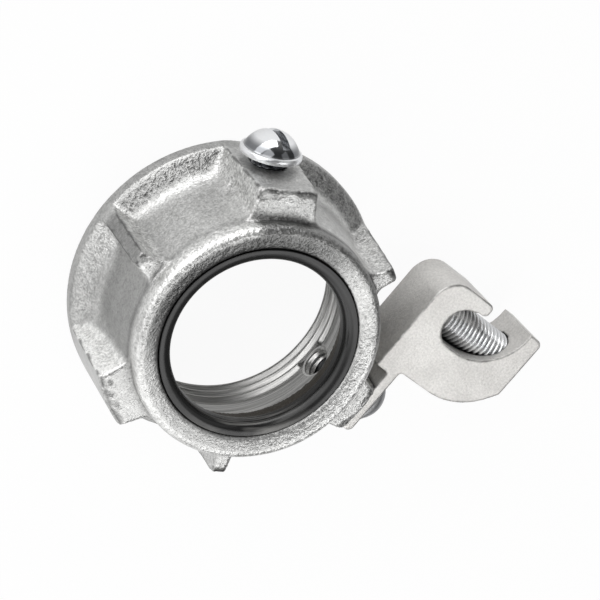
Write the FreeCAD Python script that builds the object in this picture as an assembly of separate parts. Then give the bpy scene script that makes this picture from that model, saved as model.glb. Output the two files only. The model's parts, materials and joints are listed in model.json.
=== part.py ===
import FreeCAD, Part

import math
import os

# Insulated grounding bushing for 1-1/4 in rigid conduit, in millimetres.
# The origin is the centre of the bore on the back face.
# +Z runs along the bore to the insulated front.
# +X runs out through the lug seat, and the lug reaches along +Y.

V = FreeCAD.Vector
AXIS = V(0, 0, 1)

# Bore for the conduit's thread
CONDUIT_R = 21.08
THREAD_CLEARANCE = 0.04
BORE_CHAMFER = 0.6
BORE_CHAMFER_RISE = 0.4

# Casting: heights along the bore
HEIGHT = 25.4
RIM_STEP = 3.4
FLANGE_EDGE = 3.4
FLANGE_BREAK = 0.6
POCKET_RISE = 3.4
STOP_THICK = 4.0
STOP_SLOPE = 1.4

# Casting: steps in radius, inward from the thread and then out to the flange
STOP_STEP = 3.78
LINER_STEP = 0.75
LINER_FIT = 0.05
RIM_WALL = 4.5
POCKET_STEP = 0.1
POCKET_LEAN = 1.9
POCKET_SLOPE = 4.4
RIM_ROUND = 1.6
RIM_INNER_ROUND = 0.6

# Casting: three wide lobes with a fin between each two, in degrees from +X
SEAT_ANGLE = 0.0
BOSS_ANGLE = 119.0
PLAIN_ANGLE = 239.0
FIN_ANGLES = (60.0, 180.0, 297.0)
WIDE_ROOT_HALF = 7.6
WIDE_TIP_HALF = 6.6
WIDE_DRAFT = 1.6
WIDE_LEAN = 0.8
FIN_ROOT_HALF = 2.6
FIN_TIP_HALF = 1.6
FIN_DRAFT = 0.6
FIN_LEAN = 1.6
LOBE_ROOT_STEP = 2.7
LOBE_EDGE_ROUND = 0.8
POCKET_BLEND = 2.6

# Casting: flat on the boss for the bonding screw
FLAT_SETBACK = 0.5
FLAT_LEAN = 0.7
BONDING_RISE = 0.6

# Casting: seat for the lug
SEAT_RISE = 2.1
SEAT_MARGIN = 0.15
SEAT_SHOULDER_STEP = 1.8
SEAT_BACK_CHAMFER = 1.6
SEAT_LOW_HALF = 6.2
SEAT_HIGH_HALF = 4.6

# Throat liner
THROAT_STEP = 1.55
LINER_LENGTH = 4.0
LINER_FLARE = 1.9
LINER_EDGE = 0.4

# Slotted round-head screws, 1/4-20
SCREW_R = 3.175
SCREW_CLEARANCE = 0.05
HEAD_R = 5.6
HEAD_HEIGHT = 4.7
HEAD_SKIRT = 1.1
SLOT_WIDTH = 1.6
SLOT_DEPTH = 2.0
SCREW_TIP_CHAMFER = 0.8
BONDING_TIP_SETBACK = 0.3
BONDING_HEAD_LIFT = 1.4
BONDING_SLOT_TURN = 17.0
MOUNT_TIP_SETBACK = 2.8
MOUNT_SLOT_TURN = 40.0

# Lay-in lug, measured from the seat face and from the mounting screw
LUG_WIDTH = 12.1
LUG_RISE = 0.3
TANG_THICK = 2.35
TANG_TAIL = 6.3
TANG_ROUND = 1.1
SPINE_STEP = 3.1
STEP_Y = 7.2
BLOCK_Y = 8.6
BLOCK_LENGTH = 23.5
LUG_TOP = 29.1
SPINE_ROUND = 5.0
ARM_REACH = 9.2
ARM_THICK = 2.7
LOBE_THICK = 3.5
LOBE_ROUND = 1.3
BELLY_RUN = 13.0
BELLY_SLOPE = math.radians(51.0)
BELLY_FULLNESS = 1.115
BELLY_CORNER = 1.2

# Wire opening of the lug
WIRE_X = 6.7
WIRE_DROP = 7.2
WIRE_R = 4.1
CHANNEL_R = 11.0
TANG_HOLE_CLEARANCE = 0.15

# Headless wire clamp screw, 5/16-24
CLAMP_R = 3.97
CLAMP_CLEARANCE = 0.05
CLAMP_DROP = 0.3
CLAMP_TIP_GAP = 0.9
CLAMP_TIP_CHAMFER = 1.0
CLAMP_RECESS = 0.4
CLAMP_SLOT_WIDTH = 1.4
CLAMP_SLOT_DEPTH = 2.2

# Radii that follow, from the throat outward
BORE_R = CONDUIT_R + THREAD_CLEARANCE
STOP_R = CONDUIT_R - STOP_STEP
THROAT_R = STOP_R - THROAT_STEP
LINER_R = STOP_R + LINER_STEP
LINER_SEAT_R = LINER_R + LINER_FIT
LOBE_ROOT_R = STOP_R + LOBE_ROOT_STEP
RIM_R = LINER_SEAT_R + RIM_WALL
SEAT_SHOULDER_R = RIM_R + SEAT_SHOULDER_STEP
POCKET_FRONT_R = RIM_R + POCKET_STEP
POCKET_WALL_R = POCKET_FRONT_R + POCKET_LEAN
FLANGE_R = POCKET_WALL_R + POCKET_SLOPE
FIN_FRONT_R = FLANGE_R - FIN_LEAN
WIDE_FRONT_R = FLANGE_R - WIDE_LEAN
FLAT_BACK_R = FLANGE_R - FLAT_SETBACK
SEAT_R = FLANGE_R + SEAT_RISE
BEYOND = 1.5 * SEAT_R
SCREW_HOLE_R = SCREW_R + SCREW_CLEARANCE
CLAMP_HOLE_R = CLAMP_R + CLAMP_CLEARANCE

# Heights that follow, from the back face up
LOBE_FRONT_Z = HEIGHT - RIM_STEP
LINER_BACK_Z = HEIGHT - LINER_LENGTH
BORE_DEPTH = LINER_BACK_Z - STOP_THICK
POCKET_WALL_Z = FLANGE_EDGE + POCKET_RISE
LUG_Z = BORE_DEPTH / 2 + LUG_RISE
LUG_BACK_Z = LUG_Z - LUG_WIDTH / 2
SEAT_FRONT_Z = LUG_Z + LUG_WIDTH / 2 + SEAT_MARGIN
BONDING_Z = LUG_Z + BONDING_RISE
FLAT_SLOPE = math.atan2(FLAT_LEAN, LOBE_FRONT_Z)

# Places in the lug that follow
LOBE_WALL_X = BLOCK_LENGTH - LOBE_THICK
BELLY_START = BLOCK_LENGTH - BELLY_RUN
BELLY_R = BELLY_RUN * BELLY_FULLNESS
WIRE_Y = LUG_TOP - WIRE_DROP
CLAMP_Y = WIRE_Y - CLAMP_DROP


def polygon(points):
    """Closed straight-sided face through the given points."""
    return Part.Face(Part.makePolygon(points + [points[0]]))


def revolved(profile):
    """Solid of revolution about the bore axis from (radius, height) pairs."""
    face = polygon([V(r, 0, z) for r, z in profile])
    return face.revolve(V(0, 0, 0), AXIS, 360)


def turned(shape, angle):
    """Copy of a shape turned about the bore axis."""
    copy = shape.copy()
    copy.rotate(V(0, 0, 0), AXIS, angle)
    return copy


def lobe_prism(low_half, high_half, root_half, draft):
    """Prism along the bore axis between two pockets, narrower at the front by the draft."""
    sections = []
    for z, inset in ((0, 0), (HEIGHT, draft)):
        points = [
            V(0, inset - root_half, z),
            V(LOBE_ROOT_R, inset - root_half, z),
            V(FLANGE_R, inset - low_half, z),
            V(BEYOND, inset - low_half, z),
            V(BEYOND, high_half - inset, z),
            V(FLANGE_R, high_half - inset, z),
            V(LOBE_ROOT_R, root_half - inset, z),
            V(0, root_half - inset, z),
        ]
        sections.append(Part.makePolygon(points + [points[0]]))
    return Part.makeLoft(sections, True, True)


def pocket(wide, fin, step):
    """Solid that scoops one pocket between a wide lobe at 0 degrees and a fin a step on."""
    front_z = LOBE_FRONT_Z + RIM_ROUND
    profile = [
        (FLANGE_R, FLANGE_EDGE),
        (POCKET_WALL_R, POCKET_WALL_Z),
        (POCKET_FRONT_R, LOBE_FRONT_Z),
        (POCKET_FRONT_R, front_z),
        (BEYOND, front_z),
        (BEYOND, FLANGE_EDGE),
    ]
    face = polygon([V(r, 0, z) for r, z in profile])
    sector = face.revolve(V(0, 0, 0), AXIS, step)
    scoop = sector.cut(wide).cut(turned(fin, step))
    return scoop.makeFillet(POCKET_BLEND, floor_edges(scoop))


def floor_edges(scoop):
    """Edges where a pocket's floor meets its end walls and its back slope."""
    found = []
    for edge in scoop.Edges:
        middle = edge.valueAt((edge.FirstParameter + edge.LastParameter) / 2)
        radius = math.hypot(middle.x, middle.y)
        inside = radius < POCKET_WALL_R + 0.2
        if inside and POCKET_WALL_Z - 0.2 < middle.z < LOBE_FRONT_Z - 1.0:
            found.append(edge)
    return found


def lobed_blank():
    """Outer form up to the fins' crowns, before the pockets and the bore."""
    blank = revolved([
        (0, 0),
        (FLANGE_R - FLANGE_BREAK, 0),
        (FLANGE_R, FLANGE_BREAK),
        (FLANGE_R, FLANGE_EDGE),
        (FIN_FRONT_R, LOBE_FRONT_Z),
        (RIM_R, LOBE_FRONT_Z),
        (RIM_R, HEIGHT),
        (0, HEIGHT),
    ])
    rim = [e for e in blank.Edges if on_circle(e, RIM_R, HEIGHT)]
    blank = blank.makeFillet(RIM_ROUND, rim)
    crown = [e for e in blank.Edges if on_circle(e, FIN_FRONT_R, LOBE_FRONT_Z)]
    return blank.makeFillet(LOBE_EDGE_ROUND, crown)


def wide_crown(wide):
    """Wide lobe with its fuller outer face, at 0 degrees."""
    form = revolved([
        (0, FLANGE_BREAK),
        (FLANGE_R, FLANGE_BREAK),
        (FLANGE_R, FLANGE_EDGE),
        (WIDE_FRONT_R, LOBE_FRONT_Z),
        (0, LOBE_FRONT_Z),
    ])
    crown = [e for e in form.Edges if on_circle(e, WIDE_FRONT_R, LOBE_FRONT_Z)]
    return form.makeFillet(LOBE_EDGE_ROUND, crown).common(wide)


def on_circle(edge, radius, height):
    """Whether an edge is the circle of this radius at this height about the bore axis."""
    curve = edge.Curve
    if not isinstance(curve, Part.Circle):
        return False
    return abs(curve.Radius - radius) < 0.01 and abs(curve.Center.z - height) < 0.01


def outer_flat(angle):
    """Solid that planes a wide lobe's outer face flat, leaning in toward the front."""
    back = FLAT_BACK_R
    front = FLAT_BACK_R - math.tan(FLAT_SLOPE) * HEIGHT
    outline = [V(back, 0, 0), V(BEYOND, 0, 0), V(BEYOND, 0, HEIGHT), V(front, 0, HEIGHT)]
    block = polygon(outline).extrude(V(0, 2 * FLANGE_R, 0))
    block.translate(V(0, -FLANGE_R, 0))
    return turned(block, angle)


def lug_seat():
    """Boss that carries the lug, wider at its root than at its face."""
    side = [
        V(0, 0, 0),
        V(SEAT_R - SEAT_BACK_CHAMFER, 0, 0),
        V(SEAT_R, 0, SEAT_BACK_CHAMFER),
        V(SEAT_R, 0, SEAT_FRONT_Z),
        V(SEAT_SHOULDER_R, 0, LOBE_FRONT_Z),
        V(0, 0, LOBE_FRONT_Z),
    ]
    block = polygon(side).extrude(V(0, 4 * WIDE_ROOT_HALF, 0))
    block.translate(V(0, -2 * WIDE_ROOT_HALF, 0))
    plan = [
        V(0, -WIDE_ROOT_HALF, 0),
        V(SEAT_SHOULDER_R, -WIDE_ROOT_HALF, 0),
        V(SEAT_R, -SEAT_LOW_HALF, 0),
        V(SEAT_R, SEAT_HIGH_HALF, 0),
        V(SEAT_SHOULDER_R, WIDE_ROOT_HALF, 0),
        V(0, WIDE_ROOT_HALF, 0),
    ]
    return block.common(polygon(plan).extrude(V(0, 0, HEIGHT)))


def bore():
    """Everything that is open along the bore axis, from the back to the liner seat."""
    return revolved([
        (0, 0),
        (BORE_R + BORE_CHAMFER, 0),
        (BORE_R, BORE_CHAMFER_RISE),
        (BORE_R, BORE_DEPTH - STOP_SLOPE),
        (BORE_R - STOP_SLOPE, BORE_DEPTH),
        (STOP_R, BORE_DEPTH),
        (STOP_R, LINER_BACK_Z),
        (LINER_SEAT_R, LINER_BACK_Z),
        (LINER_SEAT_R, HEIGHT),
        (0, HEIGHT),
    ])


def radial_hole(radius, start, length):
    """Cylinder along +X from a distance off the bore axis."""
    return Part.makeCylinder(radius, length, V(start, 0, 0), V(1, 0, 0))


def hub_body():
    """The casting."""
    wide = lobe_prism(WIDE_TIP_HALF, WIDE_TIP_HALF, WIDE_ROOT_HALF, WIDE_DRAFT)
    seat = lobe_prism(SEAT_LOW_HALF, SEAT_HIGH_HALF, WIDE_ROOT_HALF, WIDE_DRAFT)
    fin = lobe_prism(FIN_TIP_HALF, FIN_TIP_HALF, FIN_ROOT_HALF, FIN_DRAFT)
    body = lobed_blank()
    for angle in (BOSS_ANGLE, PLAIN_ANGLE):
        body = body.fuse(turned(wide_crown(wide), angle))
    body = body.cut(outer_flat(BOSS_ANGLE)).cut(outer_flat(SEAT_ANGLE)).fuse(lug_seat())
    lobes = ((SEAT_ANGLE, seat), (BOSS_ANGLE, wide), (PLAIN_ANGLE, wide))
    for index, (angle, lobe) in enumerate(lobes):
        lobe_low = lobe.mirror(V(0, 0, 0), V(0, 1, 0))
        step_after = FIN_ANGLES[index] - angle
        step_before = (angle - FIN_ANGLES[index - 1]) % 360
        after = pocket(lobe, fin, step_after)
        before = pocket(lobe_low, fin, step_before).mirror(V(0, 0, 0), V(0, 1, 0))
        body = body.cut(turned(after, angle)).cut(turned(before, angle))
    body = body.cut(bore())
    inner = [e for e in body.Edges if on_circle(e, LINER_SEAT_R, HEIGHT)]
    body = body.makeFillet(RIM_INNER_ROUND, inner)
    mount_hole = radial_hole(SCREW_HOLE_R, STOP_R, BEYOND - STOP_R)
    mount_hole.translate(V(0, 0, LUG_Z))
    bonding_hole = placed_on_boss(radial_hole(SCREW_HOLE_R, -BORE_R / 2, BEYOND))
    return body.cut(mount_hole).cut(bonding_hole).removeSplitter()


def placed_on_boss(shape):
    """Copy of a shape whose +X is moved onto the bonding screw's axis at the boss face."""
    face_r = FLAT_BACK_R - BONDING_Z * math.tan(FLAT_SLOPE)
    copy = shape.copy()
    copy.rotate(V(0, 0, 0), V(0, 1, 0), -math.degrees(FLAT_SLOPE))
    copy.translate(V(face_r, 0, BONDING_Z))
    copy.rotate(V(0, 0, 0), AXIS, BOSS_ANGLE)
    return copy


def throat_liner():
    """Plastic ring with a flared mouth."""
    front = HEIGHT - RIM_INNER_ROUND / 2
    ring = revolved([
        (THROAT_R, LINER_BACK_Z),
        (LINER_R, LINER_BACK_Z),
        (LINER_R, front),
        (THROAT_R, front),
    ])
    mouth = [e for e in ring.Edges if on_circle(e, THROAT_R, front)]
    ring = ring.makeFillet(LINER_FLARE, mouth)
    back = [e for e in ring.Edges if on_circle(e, THROAT_R, LINER_BACK_Z)]
    return ring.makeChamfer(LINER_EDGE, back)


def round_head_screw(shank, slot_turn):
    """Slotted round-head screw along -X, its bearing face at the origin."""
    cap = HEAD_HEIGHT - HEAD_SKIRT
    dome_r = (HEAD_R ** 2 + cap ** 2) / (2 * cap)
    centre = V(HEAD_HEIGHT - dome_r, 0, 0)
    skirt = Part.makeCylinder(HEAD_R, HEAD_HEIGHT, V(0, 0, 0), V(1, 0, 0))
    head = skirt.common(Part.makeSphere(dome_r, centre))
    slot = Part.makeBox(2 * SLOT_DEPTH, SLOT_WIDTH, 4 * HEAD_R)
    slot.translate(V(HEAD_HEIGHT - SLOT_DEPTH, -SLOT_WIDTH / 2, -2 * HEAD_R))
    slot.rotate(V(0, 0, 0), V(1, 0, 0), slot_turn)
    rod = Part.makeCylinder(SCREW_R, shank, V(0, 0, 0), V(-1, 0, 0))
    tip = [e for e in rod.Edges if abs(e.BoundBox.XMax + shank) < 0.01]
    rod = rod.makeChamfer(SCREW_TIP_CHAMFER, tip)
    return head.cut(slot).fuse(rod).removeSplitter()


def bonding_screw():
    """Screw through the boss, its head held off the boss face."""
    wall = (FLAT_BACK_R - BONDING_Z * math.tan(FLAT_SLOPE) - BORE_R) / math.cos(FLAT_SLOPE)
    shank = wall - BONDING_TIP_SETBACK + BONDING_HEAD_LIFT
    screw = round_head_screw(shank, BONDING_SLOT_TURN)
    screw.translate(V(BONDING_HEAD_LIFT, 0, 0))
    return placed_on_boss(screw)


def lug_mount_screw():
    """Screw that clamps the tang to its seat."""
    wall = SEAT_R - BORE_R
    screw = round_head_screw(TANG_THICK + wall - MOUNT_TIP_SETBACK, MOUNT_SLOT_TURN)
    screw.translate(V(SEAT_R + TANG_THICK, 0, LUG_Z))
    return screw


def rounded_outline(corners):
    """Closed face through (x, y, radius) corners, each rounded by its radius."""
    edges = []
    count = len(corners)
    joints = []
    for index in range(count):
        x, y, radius = corners[index]
        before = corners[index - 1]
        after = corners[(index + 1) % count]
        point = V(x, y, 0)
        toward_before = (V(before[0], before[1], 0) - point).normalize()
        toward_after = (V(after[0], after[1], 0) - point).normalize()
        half = toward_before.getAngle(toward_after) / 2
        setback = radius / math.tan(half)
        bisector = (toward_before + toward_after).normalize()
        start = point + toward_before * setback
        middle = point + bisector * (radius / math.sin(half) - radius)
        end = point + toward_after * setback
        joints.append((start, middle, end))
    for index in range(count):
        start, middle, end = joints[index]
        next_start = joints[(index + 1) % count][0]
        edges.append(Part.Arc(start, middle, end).toShape())
        if end.distanceToPoint(next_start) > 1e-6:
            edges.append(Part.LineSegment(end, next_start).toShape())
    return Part.Face(Part.Wire(Part.__sortEdges__(edges)))


def wire_channel():
    """Opening of the lug: a round pocket under the arm and a wide curved mouth."""
    eye = Part.makeCylinder(WIRE_R, LUG_WIDTH, V(WIRE_X, WIRE_Y, 0))
    floor_y = WIRE_Y - WIRE_R
    centre_x = LOBE_WALL_X - CHANNEL_R
    centre_y = floor_y + CHANNEL_R
    sweep = Part.makeCylinder(CHANNEL_R, LUG_WIDTH, V(centre_x, centre_y, 0))
    right = Part.makeBox(BLOCK_LENGTH, LUG_TOP, LUG_WIDTH, V(WIRE_X, floor_y, 0))
    mouth = sweep.common(right)
    arm_y = LUG_TOP - ARM_THICK
    arm = Part.makeBox(ARM_REACH, LUG_TOP, LUG_WIDTH, V(0, arm_y, 0))
    corner = Part.makeBox(
        LOBE_WALL_X - centre_x, LUG_TOP, LUG_WIDTH, V(centre_x, centre_y, 0)
    )
    return eye.fuse(mouth.cut(arm)).fuse(corner.cut(arm))


def ground_lug():
    """The lug, extruded along the bore axis and placed on its seat."""
    outline = rounded_outline([
        (0, -TANG_TAIL, TANG_ROUND),
        (TANG_THICK, -TANG_TAIL, TANG_ROUND),
        (TANG_THICK, BLOCK_Y, 0.6),
        (BELLY_START + belly_setback(), BLOCK_Y, BELLY_R),
        (BLOCK_LENGTH, belly_top(), BELLY_CORNER),
        (BLOCK_LENGTH, LUG_TOP, LOBE_ROUND),
        (-SPINE_STEP, LUG_TOP, SPINE_ROUND),
        (-SPINE_STEP, STEP_Y, 0.5),
        (0, STEP_Y, 0.4),
    ])
    lug = outline.extrude(V(0, 0, LUG_WIDTH))
    lug = lug.cut(wire_channel())
    arm_ends = [e for e in lug.Edges if is_upright(e, ARM_REACH, LUG_TOP)]
    lug = lug.makeFillet(ARM_THICK * 0.42, arm_ends)
    middle = LUG_WIDTH / 2
    tang_hole = radial_hole(SCREW_R + TANG_HOLE_CLEARANCE, -TANG_THICK, 3 * TANG_THICK)
    tang_hole.translate(V(0, 0, middle))
    clamp_start = WIRE_X - WIRE_R + CLAMP_TIP_GAP / 2
    clamp_hole = radial_hole(CLAMP_HOLE_R, clamp_start, BLOCK_LENGTH)
    clamp_hole.translate(V(0, CLAMP_Y, middle))
    lug = lug.cut(tang_hole).cut(clamp_hole)
    lug.translate(V(SEAT_R, 0, LUG_BACK_Z))
    return lug.removeSplitter()


def belly_setback():
    """Distance from the belly's start to the corner of its tangents."""
    return BELLY_R * math.tan(BELLY_SLOPE / 2)


def belly_top():
    """Height of the belly's slope at the outer face."""
    run = BELLY_RUN - belly_setback()
    return BLOCK_Y + run * math.tan(BELLY_SLOPE)


def is_upright(edge, x, top):
    """Whether an edge runs along the bore axis at this x near the lug's arm."""
    box = edge.BoundBox
    flat = box.XLength < 0.01 and box.YLength < 0.01
    return flat and abs(box.XMin - x) < 0.01 and top - 2 * ARM_THICK < box.YMin <= top + 0.01


def wire_clamp_screw():
    """Headless slotted screw through the lug's outer lobe."""
    tip_x = SEAT_R + WIRE_X - WIRE_R + CLAMP_TIP_GAP
    outer_x = SEAT_R + BLOCK_LENGTH - CLAMP_RECESS
    rod = Part.makeCylinder(CLAMP_R, outer_x - tip_x, V(tip_x, 0, 0), V(1, 0, 0))
    tip = [e for e in rod.Edges if e.BoundBox.XMax < tip_x + 0.01]
    rod = rod.makeChamfer(CLAMP_TIP_CHAMFER, tip)
    slot = Part.makeBox(2 * CLAMP_SLOT_DEPTH, 4 * CLAMP_R, CLAMP_SLOT_WIDTH)
    slot.translate(V(outer_x - CLAMP_SLOT_DEPTH, -2 * CLAMP_R, -CLAMP_SLOT_WIDTH / 2))
    screw = rod.cut(slot)
    screw.translate(V(0, CLAMP_Y, LUG_Z))
    return screw


NODES = {
    "hub_body": hub_body,
    "throat_liner": throat_liner,
    "bonding_screw": bonding_screw,
    "ground_lug": ground_lug,
    "lug_mount_screw": lug_mount_screw,
    "wire_clamp_screw": wire_clamp_screw,
}

os.makedirs("parts", exist_ok=True)
for name, build in NODES.items():
    shape = build()
    shape.exportStep("parts/" + name + ".step")
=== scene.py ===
import json
import math

import bmesh
import bpy
import numpy as np
from mathutils import Matrix, Vector, noise

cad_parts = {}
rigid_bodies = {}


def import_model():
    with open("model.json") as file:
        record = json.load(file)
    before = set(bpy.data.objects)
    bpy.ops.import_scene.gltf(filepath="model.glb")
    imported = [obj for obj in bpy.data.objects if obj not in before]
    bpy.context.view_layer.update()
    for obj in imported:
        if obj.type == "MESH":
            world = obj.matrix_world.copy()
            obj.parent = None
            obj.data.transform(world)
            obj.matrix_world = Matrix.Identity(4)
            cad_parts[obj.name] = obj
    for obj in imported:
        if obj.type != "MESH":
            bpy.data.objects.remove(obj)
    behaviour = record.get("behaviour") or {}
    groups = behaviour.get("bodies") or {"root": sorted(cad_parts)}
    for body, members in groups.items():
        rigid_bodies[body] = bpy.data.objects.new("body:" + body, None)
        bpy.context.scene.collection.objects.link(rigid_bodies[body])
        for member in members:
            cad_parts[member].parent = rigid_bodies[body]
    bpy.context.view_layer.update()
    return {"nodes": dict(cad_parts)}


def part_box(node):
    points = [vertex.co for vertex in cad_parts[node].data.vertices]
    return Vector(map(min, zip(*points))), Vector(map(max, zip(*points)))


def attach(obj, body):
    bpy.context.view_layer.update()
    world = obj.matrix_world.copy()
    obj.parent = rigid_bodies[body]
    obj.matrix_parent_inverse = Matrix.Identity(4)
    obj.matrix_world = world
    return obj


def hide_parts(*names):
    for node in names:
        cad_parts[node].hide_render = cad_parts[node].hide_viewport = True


for startup in list(bpy.data.objects):
    bpy.data.objects.remove(startup)
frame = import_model()

NODES = frame["nodes"]

# Sizes of the solids that the added pieces follow, in metres
HEIGHT = 0.0254
BORE_R = 0.02112
BORE_DEPTH = 0.0174
LINER_R = 0.01805
THROAT_R = 0.01575
LINER_BACK_Z = 0.0214
RIM_R = 0.0226
RIM_CREST_R = 0.0214
RIM_FALL = 0.0008
FLANGE_R = 0.029
FLANGE_EDGE = 0.0034
LOBE_FRONT_Z = 0.022
FIN_ANGLES = (60, 180, 297)
FIN_ROOT_HALF = 0.0026
FIN_TIP_HALF = 0.0016
SCREW_R = 0.003175
HEAD_R = 0.0056
HEAD_HEIGHT = 0.0047
SLOT_WIDTH = 0.0016
SLOT_DEPTH = 0.002
BONDING_SHANK = 0.0080
LUG_Z = 0.009
SEAT_FACE_X = 0.03345
MOUNT_SHANK = 0.00953
CLAMP_R = 0.00397
CLAMP_Y = 0.0216
CLAMP_SLOT_WIDTH = 0.0014
CLAMP_SLOT_DEPTH = 0.0022

# Threads: the length of a turn and the depth of its groove
CONDUIT_PITCH = 0.002209
CONDUIT_DEPTH = 0.00105
SCREW_PITCH = 0.00127
SCREW_DEPTH = 0.0006
TAPPED_DEPTH = 0.00055
CLAMP_PITCH = 0.001058
CLAMP_DEPTH = 0.00058

# How far the screws' tips taper
SCREW_CHAMFER = 0.0008
CLAMP_CHAMFER = 0.0010

# How far a thread's sheet stands clear of the plain wall that it covers
SHEET_GAP = 0.00004

# The bonding screw's place: its bearing face, the way out, and the way round
BOSS_ANGLE = math.radians(119.0)
BONDING_AXIS = Vector((-0.48456, 0.87418, 0.03180))
BONDING_SEAT = Vector((-0.014348, 0.025884, 0.009645))
AROUND = Vector((-math.sin(BOSS_ANGLE), math.cos(BOSS_ANGLE), 0))

# Which way each screw's slot lies in the photo
BONDING_SLOT_TURN = math.radians(17)
MOUNT_SLOT_TURN = math.radians(40)
CLAMP_SLOT_TURN = math.radians(90)

# The skins: the cells that they are made of, and the rounds that soften them
HUB_VOXEL = 0.00038
HUB_ROUNDS = 2
FILLET_ROUNDS = 76
LUG_VOXEL = 0.00024
LUG_ROUNDS = 3

# The casting's grain, and how deep its relief and the broken lines on its lobes are
CAST_GRAIN = 0.0008
CAST_RELIEF = 0.00011
BROKEN_DEPTH = 0.00034

# The height up to which the casting's skin counts as a pocket's wall or corner
POCKET_END_Z = 0.011

# How far the skin bends, in metres, where an edge line starts and where it is full
HUB_BENDS = (0.000014, 0.000026)
LUG_BENDS = (0.000007, 0.000014)

# Colours
# Painted shade on the bore's stop beyond the thread
PAINTED_SHADE_BROWN = (0.075, 0.068, 0.058, 1)
PLASTIC_BLACK = (0.009, 0.009, 0.009, 1)
# Painted highlight on the liner
PLASTIC_HIGHLIGHT = (0.16, 0.158, 0.152, 1)
STEEL_SHADOW = (0.07, 0.075, 0.085, 1)
LUG_DARK = (0.65, 0.638, 0.618, 1)
LUG_LIGHT = (0.74, 0.727, 0.705, 1)
FLOOR_GREY = (0.86, 0.86, 0.86, 1)
WHITE = (1, 1, 1, 1)

# The studio, and the camera as it was calibrated on the photo
FLOOR_HALF = 3.0
LIGHTS_CENTRE = Vector((0.008, 0.004, 0.012))
LIGHTS_DISTANCE = 0.9
WORLD_STRENGTH = 0.13
CAMERA_LENS = 102.0
CAMERA_PLACE = Vector((-0.15206269, 0.05210213, 0.27147096))
CAMERA_RIGHT = Vector((0.69843781, 0.63852268, 0.32322348))
CAMERA_DOWN = Vector((0.49208454, -0.75640231, 0.43093893))
CAMERA_FORWARD = Vector((0.51965126, -0.14193077, -0.84250711))

# Each softbox: name, azimuth and elevation in degrees, width and height in metres, watts
LIGHTS = [
    ("left_low", 150, 10, 1.5, 0.6, 8.5),
    ("front_low", 270, 12, 0.9, 0.4, 1.8),
    ("front_high", 285, 42, 0.9, 0.5, 2.6),
    ("right_high", 345, 60, 0.8, 0.45, 2.5),
    ("back_high", 50, 40, 0.8, 0.4, 0.4),
    ("left_high", 170, 46, 0.9, 0.5, 2.2),
    ("near_left", 215, 30, 0.7, 0.5, 1.5),
]


# Meshes and their points

def add_object(name, data):
    """Object of this mesh, light or camera in the scene."""
    obj = bpy.data.objects.new(name, data)
    bpy.context.scene.collection.objects.link(obj)
    return obj


def add_mesh(name, vertices, faces):
    """Object from vertex and face lists, shaded smooth."""
    mesh = bpy.data.meshes.new(name)
    mesh.from_pydata(vertices, [], faces)
    mesh.update()
    mesh.shade_smooth()
    return add_object(name, mesh)


def apply_modifiers(obj):
    """Bakes an object's modifiers into its mesh."""
    graph = bpy.context.evaluated_depsgraph_get()
    mesh = bpy.data.meshes.new_from_object(obj.evaluated_get(graph))
    obj.modifiers.clear()
    obj.data = mesh


def recalculate(obj):
    """Turns all of an object's faces outward."""
    bm = bmesh.new()
    bm.from_mesh(obj.data)
    bmesh.ops.recalc_face_normals(bm, faces=bm.faces)
    bm.to_mesh(obj.data)
    bm.free()


def ring_faces(rows, columns):
    """Quads of a grid of rows whose columns run round a circle."""
    faces = []
    for i in range(rows - 1):
        low = i * columns
        high = low + columns
        for j in range(columns):
            k = (j + 1) % columns
            faces.append((low + j, low + k, high + k, high + j))
    return faces


def flipped(faces):
    """The same faces seen from their other side."""
    return [tuple(reversed(f)) for f in faces]


def points_of(obj):
    """An object's points as rows of three."""
    rows = np.zeros(len(obj.data.vertices) * 3, np.float32)
    obj.data.vertices.foreach_get("co", rows)
    return rows.reshape(-1, 3)


def normals_of(obj):
    """The way that the skin faces at each point, as rows of three."""
    rows = np.zeros(len(obj.data.vertices) * 3, np.float32)
    obj.data.vertex_normals.foreach_get("vector", rows)
    return rows.reshape(-1, 3)


def edges_of(obj):
    """An object's edges as rows of two point numbers."""
    rows = np.zeros(len(obj.data.edges) * 2, np.int32)
    obj.data.edges.foreach_get("vertices", rows)
    return rows.reshape(-1, 2)


def set_points(obj, rows):
    """Writes an object's points back."""
    obj.data.vertices.foreach_set("co", np.ascontiguousarray(rows, np.float32).ravel())
    obj.data.update()


def write_level(obj, name, values):
    """Keeps a value for each point where the materials read it."""
    level = obj.data.attributes.new(name, "FLOAT", "POINT")
    level.data.foreach_set("value", values.astype(np.float32))


def ramp(value, low, high):
    """0 below low, 1 above high, smooth between, for a number or an array."""
    t = np.clip((value - low) / (high - low), 0.0, 1.0)
    return t * t * (3 - 2 * t)


def band(value, rise_from, rise_to, fall_from, fall_to):
    """Up one ramp and down another: 1 between them and 0 outside."""
    return ramp(value, rise_from, rise_to) * (1 - ramp(value, fall_from, fall_to))


def spread(edges, values, rounds):
    """Evens a value out along the edges."""
    a, b = edges.T
    count = np.bincount(edges.ravel(), minlength=len(values))
    for _ in range(rounds):
        near = np.bincount(a, values[b], len(values)) + np.bincount(b, values[a], len(values))
        values = 0.4 * values + 0.6 * near / np.maximum(count, 1)
    return values


def spread_points(edges, points):
    """The points after one round of evening out."""
    return np.stack([spread(edges, points[:, k], 1) for k in range(3)], axis=1)


def bend_of(edges, points, normals):
    """How sharply a skin turns outward at each point, in metres."""
    return ((points - spread_points(edges, points)) * normals).sum(axis=1)


# Skins grown from the solids

def skin(node, name, voxel, rounds):
    """Copy of a solid as an even fine mesh with softened edges."""
    obj = add_object(name, NODES[node].data.copy())
    weld = obj.modifiers.new("weld", "WELD")
    weld.merge_threshold = 2e-6
    remesh = obj.modifiers.new("even", "REMESH")
    remesh.mode = "VOXEL"
    remesh.voxel_size = voxel
    remesh.use_smooth_shade = True
    smooth = obj.modifiers.new("soften", "SMOOTH")
    smooth.factor = 0.5
    smooth.iterations = rounds
    apply_modifiers(obj)
    obj.data.shade_smooth()
    return obj


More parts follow.
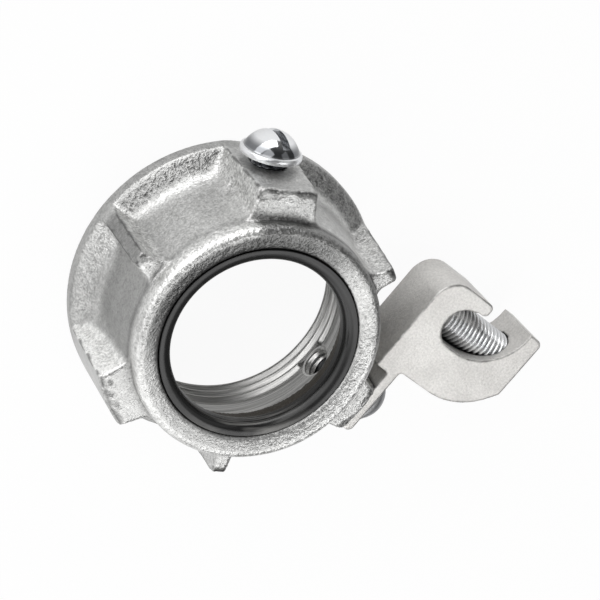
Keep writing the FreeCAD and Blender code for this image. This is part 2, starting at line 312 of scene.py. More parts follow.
def hold_in_box(obj, node):
    """Keeps a skin's points inside a node's box."""
    low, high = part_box(node)
    set_points(obj, np.clip(points_of(obj), np.array(low), np.array(high)))


def mark_edges(obj):
    """Marks the lug's outward edges for the painted shade in its material."""
    bend = bend_of(edges_of(obj), points_of(obj), normals_of(obj))
    write_level(obj, "edge", ramp(bend, *LUG_BENDS))


# The casting's skin

def from_fin(x, y):
    """How far each point is from the middle plane of the nearest fin."""
    sides = []
    for a in np.radians(FIN_ANGLES):
        behind = x * math.cos(a) + y * math.sin(a) < 0
        sides.append(np.abs(x * math.sin(a) - y * math.cos(a)) + behind)
    return np.minimum.reduce(sides)


def toward(around, angle, low, high):
    """1 on the side of the casting that lies at an angle, 0 on the other sides."""
    return ramp(np.cos(np.radians(around - angle)), low, high)


class Zones:
    """How much each point of the casting belongs to each zone, 0 to 1."""

    def __init__(self, points, normals):
        x, y, z = points.T
        radius = np.hypot(x, y)
        around = np.degrees(np.arctan2(y, x))
        outward = (normals[:, 0] * x + normals[:, 1] * y) / np.maximum(radius, 1e-6)
        up = normals[:, 2]
        sideways = np.sqrt(np.clip(1 - outward ** 2 - up ** 2, 0, 1))
        outside = ramp(radius, RIM_R - 0.0007, RIM_R - 0.0001)
        above_flange = z - FLANGE_EDGE
        above_lobes = z - LOBE_FRONT_Z
        below_top = HEIGHT - z

        # Sides as the photo shows them: the calm lower left, the left and the upper right; these sides
        # carry painted shade
        self.calm = toward(around, -110, 0.1, 0.8)
        self.left = toward(around, -155, 0.75, 0.95)
        self.upper = ramp(y, 0.0, 0.004)
        self.above_back = ramp(z, 0.0001, 0.0006)

        # Pockets: the sloped wall, the corner at its foot, and what stands beside it
        pocket = outside * ramp(above_flange, 0, 0.0008)
        pocket *= 1 - ramp(z, POCKET_END_Z - 0.0010, POCKET_END_Z + 0.0010)
        pocket *= 1 - ramp(radius, FLANGE_R - 0.0006, FLANGE_R - 0.0003)
        self.wall = ramp(up, 0.56, 0.74) * pocket
        self.fillet = band(up, 0.10, 0.32, 0.46, 0.70) * pocket
        self.fillet *= 1 - ramp(sideways, 0.4, 0.6)
        self.flank = ramp(sideways, 0.5, 0.75) * outside * ramp(above_flange, 0.0002, 0.0010)
        self.lit_flank = self.flank * band(around, -160, -152, -132, -124)
        self.floor = outside * (1 - ramp(up, 0.2, 0.5)) * (1 - self.flank)
        self.floor *= ramp(above_flange, 0.0026, 0.0046)
        self.floor *= 1 - ramp(radius, FLANGE_R - 0.0028, FLANGE_R - 0.0020)
        self.fin = 1 - ramp(from_fin(x, y), FIN_TIP_HALF - 0.0002, FIN_TIP_HALF + 0.0006)
        self.fin *= ramp(radius, RIM_R + 0.0008, RIM_R + 0.0014)
        self.fin *= ramp(outward, 0.2, 0.5) * ramp(above_flange, 0.0016, 0.0036)
        self.flange_top = 1 - ramp(above_flange, 0.0002, 0.0006)
        self.flange_top *= ramp(radius, FLANGE_R - 0.0005, FLANGE_R - 0.0003)

        # Front: the lobes' faces, the rim's side, its dull upper lip and the valley round it; the lip
        # is rough and also darkened with painted shade
        self.front = ramp(up, 0.7, 0.9) * ramp(above_lobes, -0.0020, -0.0012)
        self.rim_side = ramp(radius, RIM_CREST_R - 0.0004, RIM_CREST_R)
        self.rim_side *= 1 - ramp(radius, RIM_R + 0.0002, RIM_R + 0.0006)
        self.rim_side *= ramp(above_lobes, -0.0006, 0.0004)
        self.shaded = self.rim_side * band(around, 15, 45, 130, 133)
        lip = 1 - ramp(radius, RIM_CREST_R - 0.0005, RIM_CREST_R)
        lip *= 1 - ramp(below_top, 0.0012, 0.0024)
        self.dull_shaded_lip = lip * toward(around, 145, 0.1, 0.8)
        self.valley = np.exp(-((radius - RIM_R - 0.0003) / 0.0005) ** 2)
        self.valley *= band(above_lobes, -0.0012, -0.0004, 0.0006, 0.0012)

        # Inside of the bore, as far as the lip, and the part beyond the thread that gets painted shade
        inside = 1 - ramp(radius, BORE_R + 0.0002, BORE_R + 0.0006)
        self.deep = inside * ramp(below_top, 0.0004, 0.0014)
        self.painted_stop_shade = inside * ramp(z, BORE_DEPTH - 0.0016, BORE_DEPTH) * ramp(below_top, 0.0012, 0.0022)


def cast_roughness(zones):
    """How rough the casting is in each zone, 0 to 1."""
    rough = np.full_like(zones.wall, 0.42)
    for zone, level in (
        (zones.wall, 1.0),
        (zones.flank, 0.8),
        (zones.front, 0.5),
        (zones.rim_side, 0.6),
        (zones.dull_shaded_lip, 0.75),
    ):
        rough = np.maximum(rough, level * zone)
    evened = (1 - zones.deep) * (1 - 0.6 * zones.fillet) * (1 - 0.4 * zones.calm)
    return rough * evened * zones.above_back


def cast_tone_and_shade(zones):
    """How light the casting is in each zone, where 1 is bright zinc, with painted light and shade laid
    on the zinc's tone.
    """
    # Painted shade: a little darker on the calm lower left
    tone = 0.88 - 0.07 * zones.calm
    # Painted shade on the pockets' sloped walls, deeper on the upper right
    tone -= (0.04 + 0.32 * zones.upper) * zones.wall
    # Painted highlight on the fillets, the flanks and the lit flank
    tone += 0.12 * zones.fillet + 0.22 * zones.flank + 0.40 * zones.lit_flank
    # Painted highlight on the rim's side, weaker on the calm lower left
    tone += (0.38 - 0.14 * zones.calm) * zones.rim_side
    # Painted shade on the shaded band and on the fins' outer faces
    tone -= 0.84 * zones.shaded + 0.42 * zones.fin
    # Painted shade on the left pockets' floors
    tone -= 0.26 * zones.left * zones.floor * (1 - zones.rim_side)
    # A faint painted highlight on the front faces, and painted shade on the dull lip
    tone += 0.02 * zones.front - 0.60 * zones.dull_shaded_lip
    # Painted shade in the valley round the rim and along the flange's top edge
    tone -= 0.4 * zones.valley + 0.14 * zones.flange_top
    return np.clip(tone, 0.05, 1.5)


def fillet_pockets(obj):
    """Rounds the corner between each pocket's sloped wall and its floor."""
    points = points_of(obj)
    x, y, z = points.T
    radius = np.hypot(x, y)
    near = ramp(z, FLANGE_EDGE + 0.0012, FLANGE_EDGE + 0.0024)
    near *= 1 - ramp(z, POCKET_END_Z - 0.0010, POCKET_END_Z + 0.0010)
    near *= ramp(radius, RIM_R + 0.0002, RIM_R + 0.0010)
    near *= 1 - ramp(radius, FLANGE_R - 0.0018, FLANGE_R - 0.0010)
    near *= ramp(from_fin(x, y), FIN_ROOT_HALF - 0.0002, FIN_ROOT_HALF + 0.0012)
    edges = edges_of(obj)
    edges = edges[(near[edges] > 0).any(axis=1)]
    chosen, edges = np.unique(edges, return_inverse=True)
    edges = edges.reshape(-1, 2)
    moving = points[chosen]
    for _ in range(FILLET_ROUNDS):
        moving += near[chosen, None] * (spread_points(edges, moving) - moving)
    points[chosen] = moving
    set_points(obj, points)


def slope_rim(obj):
    """Lets the rim's front fall away toward the liner, as a cast lip does."""
    points = points_of(obj)
    radius = np.hypot(points[:, 0], points[:, 1])
    share = np.clip((RIM_CREST_R - radius) / (RIM_CREST_R - LINER_R), 0, 1)
    on_front = ramp(points[:, 2], LINER_BACK_Z + 0.0010, HEIGHT - 0.0004)
    points[:, 2] -= RIM_FALL * share ** 1.2 * on_front
    set_points(obj, points)


def ragged_edge(p):
    """How deep the broken line along a lobe's front edge is at a point, 0 to 1."""
    below = LOBE_FRONT_Z - p.z
    if not (-0.0006 < below < 0.0008 and FLANGE_R - 0.0028 < math.hypot(p.x, p.y)):
        return 0.0
    wander = 0.00012 * noise.noise(p / 0.0011)
    line = math.exp(-((below - 0.00024 - wander) / 0.00026) ** 2)
    return line * ramp(noise.noise(p / 0.0016 + Vector((4, 1, 2))), -0.25, 0.15)


def shaded_edge_lines(edges, points, normals):
    """Painted shade as thin dark lines along the outward edges of the lobes, 0 to 1."""
    x, y, z = points.T
    on_lobes = ramp(np.hypot(x, y), RIM_R + 0.0006, RIM_R + 0.0014)
    on_lobes *= ramp(z, FLANGE_EDGE + 0.0006, FLANGE_EDGE + 0.0016)
    on_lobes *= 1 - ramp(z, LOBE_FRONT_Z - 0.0015, LOBE_FRONT_Z - 0.0008)
    return ramp(bend_of(edges, points, normals), *HUB_BENDS) * on_lobes


def roughen(obj):
    """Pushes the casting's points in and out by noise, and marks them for its material."""
    points = points_of(obj)
    normals = normals_of(obj)
    edges = edges_of(obj)
    zones = Zones(points, normals)
    rough = spread(edges, cast_roughness(zones), 8)
    tone = spread(edges, cast_tone_and_shade(zones), 4)
    # Painted shade along the lobes' outward edges
    tone *= 1 - 0.68 * shaded_edge_lines(edges, points, normals)
    push = np.zeros(len(points), np.float32)
    for i, row in enumerate(points.tolist()):
        p = Vector(row)
        wave = noise.noise(p / CAST_GRAIN)
        slow = noise.noise(p / (7 * CAST_GRAIN))
        broken = ragged_edge(p)
        grain = CAST_RELIEF * rough[i] * (max(rough[i] - 0.3, 0) * wave + 0.6 * slow)
        push[i] = grain - BROKEN_DEPTH * broken
        # The broken line is cut into the skin and also darkened with painted shade
        tone[i] *= 1 - 0.75 * broken
    set_points(obj, points + normals * push[:, None])
    write_level(obj, "cast", rough)
    write_level(obj, "tone", tone)
    write_level(obj, "painted_stop_shade", spread(edges, zones.painted_stop_shade, 4))


# Turned and threaded pieces

def thread_wave(turns):
    """Height of a thread's flank from 0 at the root to 1 at the crest, once for each turn."""
    flat = 0.08
    rounding = 0.35
    t = abs((turns % 1.0) - 0.5) * 2
    t = min(max((t - flat) / (1 - 2 * flat), 0.0), 1.0)
    return (1 - rounding) * t + rounding * t * t * (3 - 2 * t)


def threaded_rod(name, start, end, radius, pitch, depth, chamfer):
    """Closed rod along local +X with an outside thread."""
    columns = 96
    rows_per_turn = 14
    taper = 0.8
    rows = int((end - start) / pitch * rows_per_turn) + 2
    vertices = []
    for i in range(rows):
        x = start + (end - start) * i / (rows - 1)
        limit = radius - max(0.0, chamfer - (x - start)) * taper
        for j in range(columns):
            turn = j / columns
            r = radius - depth * (1 - thread_wave((x - start) / pitch - turn))
            r = min(r, limit)
            vertices.append((x, r * math.cos(turn * math.tau), r * math.sin(turn * math.tau)))
    faces = ring_faces(rows, columns)
    faces.append(tuple(range(columns)))
    faces.append(tuple((rows - 1) * columns + j for j in reversed(range(columns))))
    obj = add_mesh(name, vertices, faces)
    recalculate(obj)
    return obj


def turned(name, profile):
    """Closed piece turned about local +X from (x, radius) pairs; the ends lie on the axis."""
    columns = 96
    vertices = []
    for x, r in profile[1:-1]:
        for j in range(columns):
            a = j / columns * math.tau
            vertices.append((x, r * math.cos(a), r * math.sin(a)))
    rows = len(profile) - 2
    faces = ring_faces(rows, columns)
    first = len(vertices)
    vertices.append((profile[0][0], 0, 0))
    vertices.append((profile[-1][0], 0, 0))
    base = (rows - 1) * columns
    for j in range(columns):
        k = (j + 1) % columns
        faces.append((first, k, j))
        faces.append((first + 1, base + j, base + k))
    obj = add_mesh(name, vertices, faces)
    recalculate(obj)
    return obj


def cut_slot(obj, floor, top, width, length, turn):
    """Cuts a screwdriver slot across the +X end."""
    bm = bmesh.new()
    bmesh.ops.create_cube(bm, size=1)
    size = Matrix.Diagonal((2 * (top - floor), width, length, 1))
    place = Matrix.Rotation(turn, 4, "X") @ Matrix.Translation((top, 0, 0)) @ size
    bmesh.ops.transform(bm, matrix=place, verts=bm.verts)
    mesh = bpy.data.meshes.new("cutter")
    bm.to_mesh(mesh)
    bm.free()
    cutter = add_object("cutter", mesh)
    cut = obj.modifiers.new("slot", "BOOLEAN")
    cut.operation = "DIFFERENCE"
    cut.solver = "EXACT"
    cut.object = cutter
    apply_modifiers(obj)
    bpy.data.objects.remove(cutter)


def place_along(obj, origin, out, across):
    """Moves a piece built along local +X to its place."""
    third = out.cross(across).normalized()
    across = third.cross(out).normalized()
    matrix = Matrix((out, across, third)).transposed().to_4x4()
    matrix.translation = origin
    obj.data.transform(matrix)


def joined(name, parts):
    """One object from several meshes."""
    bm = bmesh.new()
    for part in parts:
        bm.from_mesh(part.data)
        bpy.data.objects.remove(part)
    mesh = bpy.data.meshes.new(name)
    bm.to_mesh(mesh)
    bm.free()
    return add_object(name, mesh)


def shade_flats(obj, degrees):
    """Smooth shading that breaks at the edges sharper than an angle."""
    obj.data.shade_smooth()
    obj.data.set_sharp_from_angle(angle=math.radians(degrees))


def round_head(name):
    """Head of a slotted round-head screw: a rolled rim with a dome inside it."""
    rim_top = 0.0013
    dome_r = HEAD_R - 0.0006
    profile = [(0, 0), (0, HEAD_R - 0.0004), (0.0001, HEAD_R - 0.00012), (0.0003, HEAD_R)]
    profile += [(0.0009, HEAD_R), (0.0012, HEAD_R - 0.00014)]
    profile += [(rim_top, HEAD_R - 0.0004), (rim_top, dome_r)]
    rise = HEAD_HEIGHT - rim_top
    sphere_r = (dome_r ** 2 + rise ** 2) / (2 * rise)
    steps = 14
    for i in range(1, steps + 1):
        r = dome_r * math.cos(i / steps * math.pi / 2)
        profile.append((HEAD_HEIGHT - sphere_r + math.sqrt(sphere_r ** 2 - r ** 2), r))
    profile[-1] = (HEAD_HEIGHT, 0)
    return turned(name, profile)


def head_screw(name, shank, slot_turn):
    """Round-head screw with a threaded shank along -X, its lip marked, and the dome's foot and the
    shank marked for a painted dark reflection and painted shade.
    """
    head = round_head(name + "_head")
    cut_slot(head, HEAD_HEIGHT - SLOT_DEPTH, HEAD_HEIGHT, SLOT_WIDTH, 4 * HEAD_R, slot_turn)
    rod_name = name + "_rod"
    into_head = 0.0002
    thread = (SCREW_R, SCREW_PITCH, SCREW_DEPTH, SCREW_CHAMFER)
    screw = joined(name, [head, threaded_rod(rod_name, -shank, into_head, *thread)])
    shade_flats(screw, 35)
    x, y, z = points_of(screw).T
    radius = np.hypot(y, z)
    on_head = ramp(x, -0.0001, 0.0001)
    lip = ramp(radius, HEAD_R - 0.0007, HEAD_R - 0.0005) * on_head
    # Painted dark reflection round the dome's foot, and painted shade on the shank below the head
    shaded_foot = ramp(radius, HEAD_R - 0.0022, HEAD_R - 0.0010) * (1 - lip) * on_head
    write_level(screw, "lip", lip)
    write_level(screw, "shaded_foot", shaded_foot + 1 - on_head)
    return screw


def bonding_screw():
    """Bonding screw in its boss."""
    screw = head_screw("bonding_round_head", BONDING_SHANK, BONDING_SLOT_TURN)
    place_along(screw, BONDING_SEAT, BONDING_AXIS, AROUND)
    return screw


def mount_screw():
    """Screw that holds the lug on its seat."""
    screw = head_screw("mount_round_head", MOUNT_SHANK, MOUNT_SLOT_TURN)
    place_along(screw, Vector((SEAT_FACE_X, 0, LUG_Z)), Vector((1, 0, 0)), Vector((0, 1, 0)))
    return screw


def clamp_screw():
    """Headless screw through the lug's outer lobe."""
    low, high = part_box("wire_clamp_screw")
    thread = (CLAMP_R, CLAMP_PITCH, CLAMP_DEPTH, CLAMP_CHAMFER)
    screw = threaded_rod("clamp_thread", low.x, high.x, *thread)
    slot_floor = high.x - CLAMP_SLOT_DEPTH
    cut_slot(screw, slot_floor, high.x, CLAMP_SLOT_WIDTH, 4 * CLAMP_R, CLAMP_SLOT_TURN)
    shade_flats(screw, 50)
    screw.data.transform(Matrix.Translation((0, CLAMP_Y, LUG_Z)))
    return screw


def bore_thread():
    """Thread of the bore as a thin sheet over its plain wall, shallow at its inner end.

    It is open at the two screw holes.
    """
    columns = 360
    start = 0.0006
    end = 0.0160
    full_from = 0.0018
    shallow_from = 0.0062
    shallow_to = 0.0088
    shallowing = 0.86
    rows_per_turn = 12
    rows = int((end - start) / CONDUIT_PITCH * rows_per_turn)
    holes = [(Vector((0, 0, LUG_Z)), Vector((1, 0, 0))), (BONDING_SEAT, BONDING_AXIS)]
    hole_r = SCREW_R + SHEET_GAP
    fade_width = 0.0006
    snap_width = 0.0004
    vertices = []
    inside = set()
    for i in range(rows):
        z = start + (end - start) * i / (rows - 1)
        height = CONDUIT_DEPTH * (1 - shallowing * ramp(z, shallow_from, shallow_to))
        height *= ramp(z, start, full_from)
        for j in range(columns):
            a = j / columns * math.tau
            wall = Vector((math.cos(a), math.sin(a), 0)) * (BORE_R - SHEET_GAP)
            v = wall + Vector((0, 0, z))
            fade = 1.0
            for origin, axis in holes:
                off = v - origin - axis * (v - origin).dot(axis)
                if v.dot(axis) > 0 and off.length < hole_r + fade_width:
                    fade = ramp(off.length, hole_r, hole_r + fade_width)
                    if off.length < hole_r - snap_width:
                        inside.add(len(vertices))
                    elif off.length < hole_r:
                        v += off.normalized() * (hole_r - off.length)
            ridge = fade * height * thread_wave(z / CONDUIT_PITCH - j / columns)
            vertices.append(v - wall.normalized() * ridge)
    faces = [f for f in ring_faces(rows, columns) if not any(i in inside for i in f)]
    return add_mesh("bore_thread", vertices, flipped(faces))


def hole_thread():
    """Thread of the lug screw's hole as a thin sheet, seen from the bore past the screw's tip."""
    columns = 72
    rows = 44
    start = BORE_R - 0.0003
    end = SEAT_FACE_X - MOUNT_SHANK + 0.0006
    mouth_rows = 3
    vertices = []
    for i in range(rows):
        depth = TAPPED_DEPTH * min(i / mouth_rows, 1)
        for j in range(columns):
            a = j / columns * math.tau
            x = start + (end - start) * i / (rows - 1)
            r = SCREW_R + SHEET_GAP - depth * thread_wave(x / SCREW_PITCH - j / columns)
            x = max(x, math.sqrt(BORE_R ** 2 - (r * math.cos(a)) ** 2))
            vertices.append((x, r * math.cos(a), LUG_Z + r * math.sin(a)))
    return add_mesh("hole_thread", vertices, flipped(ring_faces(rows, columns)))


def liner():
    """Throat liner turned about the bore axis, with a flared mouth."""
    front = HEIGHT - RIM_FALL + 0.0001
    flare = 0.0019
    flare_steps = 12
    profile = [(LINER_BACK_Z, THROAT_R + 0.0004), (LINER_BACK_Z, LINER_R)]
    profile += [(front - 0.0001, LINER_R), (front, LINER_R - 0.0001)]
    for i in range(flare_steps + 1):
        a = i / flare_steps * math.pi / 2
        profile.append((front - flare * (1 - math.cos(a)), THROAT_R + flare * (1 - math.sin(a))))
    profile.append((LINER_BACK_Z + 0.0004, THROAT_R))
    columns = 240
    vertices = []
    for z, r in profile:
        for j in range(columns):
            a = j / columns * math.tau
            vertices.append((r * math.cos(a), r * math.sin(a), z))
    rows = len(profile)
    faces = ring_faces(rows, columns)
    last = (rows - 1) * columns
    for j in range(columns):
        k = (j + 1) % columns
        faces.append((last + j, last + k, k, j))
    obj = add_mesh("liner_ring", vertices, faces)
    recalculate(obj)
    shade_flats(obj, 40)
    return obj


# Materials

class Shader:
    """Short way to build a node material."""

    def __init__(self, name):
        self.material = bpy.data.materials.new(name)
        self.material.use_nodes = True
        self.tree = self.material.node_tree
        self.tree.nodes.clear()
        self.output = self.tree.nodes.new("ShaderNodeOutputMaterial")

    def node(self, kind, settings=None, **inputs):
        """Node with its settings, and with its inputs linked or set."""
        made = self.tree.nodes.new(kind)
        for key, value in (settings or {}).items():
            setattr(made, key, value)
        for key, value in inputs.items():
            self.put(made, key.replace("_", " "), value)
        return made

    def put(self, node, key, value):
        """Links or sets the input that has this name or number."""
        socket = node.inputs[key]
        if isinstance(value, bpy.types.NodeSocket):
            self.tree.links.new(value, socket)
        else:
            socket.default_value = value

    def place(self):
        """Where a point is on the object."""
        return self.node("ShaderNodeTexCoord").outputs["Object"]

    def level(self, name):
        """A value that was kept for each point."""
        return self.node("ShaderNodeAttribute", {"attribute_name": name}).outputs["Fac"]

    def noise(self, coords, scale, detail=3.0, rough=0.6):
        """Cloudy pattern from 0 to 1."""
        made = self.node("ShaderNodeTexNoise", Scale=scale, Detail=detail, Roughness=rough)
        self.put(made, "Vector", coords)
        return made.outputs["Fac"]

    def streaks(self, parts, along, across, detail):
        """Fine lines that run round the bore."""
        combine = self.node("ShaderNodeCombineXYZ")
        for axis, scale in (("X", across), ("Y", across), ("Z", along)):
            self.put(combine, axis, self.math("MULTIPLY", parts.outputs[axis], scale))
        made = self.node("ShaderNodeTexNoise", Scale=1.0, Detail=detail)
        self.put(made, "Vector", combine.outputs[0])
        return made.outputs["Fac"]

    def crevice(self, distance):
        """1 in the open, falling toward 0 in corners and seams."""
        made = self.node("ShaderNodeAmbientOcclusion", {"samples": 8}, Distance=distance)
        return made.outputs["AO"]

    def math(self, kind, a, b, clamp=False):
        """Sum, product or the like of two values."""
        made = self.node("ShaderNodeMath", {"operation": kind, "use_clamp": clamp})
        self.put(made, 0, a)
        self.put(made, 1, b)
        return made.outputs[0]

    def times(self, a, b):
        """Product of two values."""
        return self.math("MULTIPLY", a, b)

    def range(self, value, low, high, out_low, out_high):
        """Value that runs from out_low to out_high while another runs from low to high."""
        made = self.node("ShaderNodeMapRange", Value=value, From_Min=low, From_Max=high)
        self.put(made, "To Min", out_low)
        self.put(made, "To Max", out_high)
        return made.outputs[0]

    def mix_color(self, factor, a, b, kind="MIX"):
        """Colour between two, or their product."""
        made = self.node("ShaderNodeMix", {"data_type": "RGBA", "blend_type": kind})
        self.put(made, 0, factor)
        self.put(made, 6, a)
        self.put(made, 7, b)
        return made.outputs[2]

    def bump(self, height, strength, distance, normal=None):
        """Relief on the surface, over an earlier relief if there is one."""
        made = self.node("ShaderNodeBump", Height=height, Strength=strength, Distance=distance)
        if normal is not None:
            self.put(made, "Normal", normal)
        return made.outputs[0]

    def surface(self, color, metallic, roughness, normal):
        """The finished material, with this colour, metal share, roughness and relief."""
        made = self.node("ShaderNodeBsdfPrincipled", Metallic=metallic, Roughness=roughness)
        self.put(made, "Normal", normal)
        self.put(made, "Base Color", color)
        return self.finish(made.outputs[0])

    def finish(self, shader):
        """The material with this shader on its output."""
        self.tree.links.new(shader, self.output.inputs["Surface"])
        return self.material


def cast_zinc():
    """Bright zinc plating over a sand-cast skin, with painted shade in its corners and on the bore's
    stop.
    """
    s = Shader("zinc_plated_iron")
    place = s.place()
    rough = s.level("cast")
    grain = s.noise(place, 1250.0, 2.0)
    fine = s.noise(place, 2500.0, 2.0)
    cloud = s.noise(place, 140.0, 3.0, 0.55)
    blotch = s.noise(place, 420.0, 2.0, 0.55)
    speckle = 1.0
    for pattern, on_calm, on_rough in ((fine, 0.7, 1.3), (grain, 0.6, 1.5), (blotch, 0.25, 0.7)):
        swing = s.times(s.math("SUBTRACT", pattern, 0.5), s.range(rough, 0.3, 1.0, on_calm, on_rough))
        speckle = s.math("ADD", swing, speckle)
    drift = s.range(cloud, 0.3, 0.7, 0.90, 1.08)
    shade = s.times(s.level("tone"), 0.60)
    level = s.math("MULTIPLY", s.times(speckle, drift), shade, clamp=True)
    # Painted shade in corners and seams
    level = s.times(level, s.range(s.crevice(0.0011), 0.25, 0.85, 0.22, 1.0))
    grey = s.node("ShaderNodeCombineColor", Red=level, Green=level, Blue=s.times(level, 0.985))
    # Painted shade: the bore's stop beyond the thread is mixed toward dark brown
    base = s.mix_color(s.level("painted_stop_shade"), grey.outputs[0], PAINTED_SHADE_BROWN)
    relief = s.bump(grain, s.range(rough, 0.3, 1.0, 0.22, 0.8), 0.00042)
    relief = s.bump(fine, s.range(rough, 0.3, 1.0, 0.28, 0.45), 0.0002, relief)
    return s.surface(base, 0.9, s.range(fine, 0.3, 0.7, 0.28, 0.46), relief)


def thread_metal(name, low, high):
    """Cut thread: the same zinc, satin, with fine lines round the bore."""
    s = Shader(name)
    parts = s.node("ShaderNodeSeparateXYZ", Vector=s.place())
    lines = s.streaks(parts, 3200.0, 60.0, 4.0)
    dark = (low, low, low * 0.985, 1)
    light = (high, high * 0.995, high * 0.975, 1)
    tone = s.mix_color(s.range(lines, 0.35, 0.65, 0.0, 1.0), dark, light)
    return s.surface(tone, 1.0, 0.33, s.bump(lines, 0.35, 0.0002))


def dark_plastic():
    """Moulded liner with faint lines round it, with a painted streaky highlight where it lies lowest as
    seen from the camera.
    """
    s = Shader("dark_plastic")
    parts = s.node("ShaderNodeSeparateXYZ", Vector=s.place())
    lines = s.streaks(parts, 2500.0, 90.0, 3.0)
    low_side = s.range(parts.outputs["Y"], -0.0040, -0.0120, 0.0, 1.0)
    right_side = s.range(parts.outputs["X"], -0.004, 0.006, 0.0, 1.0)
    # Painted highlight: streaky reflection on the liner's low right side
    highlight_side = s.times(low_side, right_side)
    streak = s.times(s.range(lines, 0.46, 0.66, 0.0, 1.0), highlight_side)
    shine = s.range(lines, 0.3, 0.7, 0.20, 0.36)
    tone = s.mix_color(streak, PLASTIC_BLACK, PLASTIC_HIGHLIGHT)
    return s.surface(tone, 0.0, shine, s.bump(lines, 0.10, 0.0002))


def plated_steel(name, rough, shade, shadowed):
    """Bright plated screw steel, with a satin lip, and with a painted dark reflection and painted shade
    on the foot, where the piece marks them.
    """
    s = Shader(name)
    place = s.place()
    lip = s.level("lip")
    cloud = s.noise(place, 700.0)
    shine = s.math("ADD", s.range(cloud, 0.3, 0.7, rough * 0.8, rough * 1.3), s.times(lip, 0.22))
    # Painted shade in corners
    corner = s.range(s.crevice(0.0008), 0.2, 0.9, 0.2, 1.0)
    bluish = (shade * 0.92, shade * 0.94, shade * 0.97, 1)
    tone = s.mix_color(cloud, bluish, (shade, shade, shade, 1))
    # Painted shade and painted dark reflection where the foot is marked
    tone = s.mix_color(s.times(s.level("shaded_foot"), shadowed), tone, STEEL_SHADOW)
    tone = s.mix_color(1.0, tone, corner, "MULTIPLY")
    strength = s.math("ADD", s.times(lip, 0.2), 0.03)
    return s.surface(tone, 1.0, shine, s.bump(s.noise(place, 1800.0, 2.0), strength, 0.0002))


def plated_aluminium():
    """Matte plated lug with a fine even grain, painted shade in its corners and broken lines of painted
    shade along its edges.
    """
    s = Shader("plated_aluminium")
    place = s.place()
    fine = s.noise(place, 2200.0)
    cloud = s.range(s.noise(place, 160.0, 3.0, 0.5), 0.35, 0.65, 0.0, 1.0)
    tone = s.mix_color(cloud, LUG_DARK, LUG_LIGHT)
    # Painted shade in corners
    corner = s.range(s.crevice(0.001), 0.3, 0.95, 0.45, 1.0)
    fleck = s.range(fine, 0.3, 0.7, 0.86, 1.10)
    # Painted shade along the outward edges, broken into patches
    broken = s.times(s.level("edge"), s.range(s.noise(place, 500.0, 2.0), 0.35, 0.6, 0.1, 1.0))
    corner = s.times(corner, s.range(broken, 0.0, 1.0, 1.0, 0.5))
    tone = s.mix_color(1.0, tone, s.times(corner, fleck), "MULTIPLY")
    return s.surface(tone, 0.8, 0.48, s.bump(fine, 0.35, 0.0002))


def studio_white():
    """White floor: near plain white to the camera and in reflections, with a soft shadow kept."""
    s = Shader("studio_white")
    path = s.node("ShaderNodeLightPath")
    mirrored = s.math("MAXIMUM", path.outputs["Is Glossy Ray"], path.outputs["Is Transmission Ray"])
    seen = s.math("MAXIMUM", path.outputs["Is Camera Ray"], s.times(mirrored, 0.35))
    diffuse = s.node("ShaderNodeBsdfDiffuse", Color=FLOOR_GREY)
    glow = s.node("ShaderNodeEmission", Color=WHITE, Strength=1.0)
    mix = s.node("ShaderNodeMixShader")
    s.put(mix, 0, s.times(seen, 0.94))
    s.put(mix, 1, diffuse.outputs[0])
    s.put(mix, 2, glow.outputs[0])
    return s.finish(mix.outputs[0])


# Floor, light and camera

def studio_floor():
    """Plain pale floor under the object."""
    bm = bmesh.new()
    bmesh.ops.create_grid(bm, x_segments=1, y_segments=1, size=FLOOR_HALF)
    mesh = bpy.data.meshes.new("studio_floor")
    bm.to_mesh(mesh)
    bm.free()
    floor = add_object("studio_floor", mesh)
    floor.data.materials.append(studio_white())


def softbox(name, azimuth, elevation, width, height, power):
    """Rectangular area light round the object, aimed at it."""
    data = bpy.data.lights.new(name, "AREA")
    data.shape = "RECTANGLE"
    data.size = width
    data.size_y = height
    data.energy = power
    around = math.radians(azimuth)
    up = math.radians(elevation)
    way = Vector((math.cos(around) * math.cos(up), math.sin(around) * math.cos(up), math.sin(up)))
    light = add_object(name, data)
    light.location = LIGHTS_CENTRE + way * LIGHTS_DISTANCE
    light.rotation_euler = way.to_track_quat("Z", "Y").to_euler()


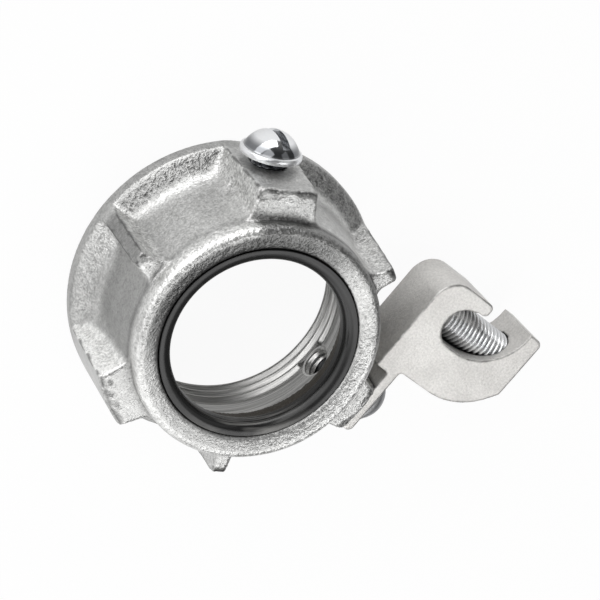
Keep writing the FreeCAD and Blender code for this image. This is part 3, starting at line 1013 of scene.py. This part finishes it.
def studio_world():
    """Faint even white light from all round."""
    world = bpy.data.worlds.new("studio")
    bpy.context.scene.world = world
    world.use_nodes = True
    background = world.node_tree.nodes["Background"]
    background.inputs["Color"].default_value = WHITE
    background.inputs["Strength"].default_value = WORLD_STRENGTH


def photo_camera():
    """Camera that sees the object as the photo does."""
    data = bpy.data.cameras.new("camera")
    data.lens = CAMERA_LENS
    data.sensor_width = 36.0
    data.sensor_fit = "HORIZONTAL"
    data.clip_start = 0.01
    camera = add_object("camera", data)
    view = Matrix((CAMERA_RIGHT, -CAMERA_DOWN, -CAMERA_FORWARD)).transposed().to_4x4()
    view.translation = CAMERA_PLACE
    camera.matrix_world = view
    bpy.context.scene.camera = camera


# The object

def dress(obj, material, body, node=None):
    """Gives a piece its material and its body, and hides the node that it stands for."""
    obj.data.materials.clear()
    obj.data.materials.append(material)
    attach(obj, body)
    if node:
        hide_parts(node)


hub = skin("hub_body", "hub_skin", HUB_VOXEL, HUB_ROUNDS)
fillet_pockets(hub)
slope_rim(hub)
roughen(hub)
hold_in_box(hub, "hub_body")
dress(hub, cast_zinc(), "hub", "hub_body")
# One cut-zinc thread material in two copies; the tapped hole's copy is lighter, with painted light
darker_thread_copy = thread_metal("bore_metal", low=0.38, high=0.74)
dress(bore_thread(), darker_thread_copy, "hub")
lit_thread_copy = thread_metal("hole_metal_lit", low=0.70, high=0.95)
dress(hole_thread(), lit_thread_copy, "hub")
dress(liner(), dark_plastic(), "hub", "throat_liner")

lug = skin("ground_lug", "lug_skin", LUG_VOXEL, LUG_ROUNDS)
hold_in_box(lug, "ground_lug")
mark_edges(lug)
dress(lug, plated_aluminium(), "hub", "ground_lug")

bright = plated_steel("bright_screw", rough=0.10, shade=0.92, shadowed=0.85)
dress(bonding_screw(), bright, "bonding", "bonding_screw")
dull = plated_steel("dull_screw", rough=0.30, shade=0.32, shadowed=0.5)
dress(mount_screw(), dull, "hub", "lug_mount_screw")
satin = plated_steel("clamp_steel", rough=0.22, shade=0.78, shadowed=0.0)
dress(clamp_screw(), satin, "wire_clamp", "wire_clamp_screw")

studio_floor()
for light in LIGHTS:
    softbox(*light)
studio_world()
photo_camera()
bpy.context.scene.view_settings.view_transform = "Standard"
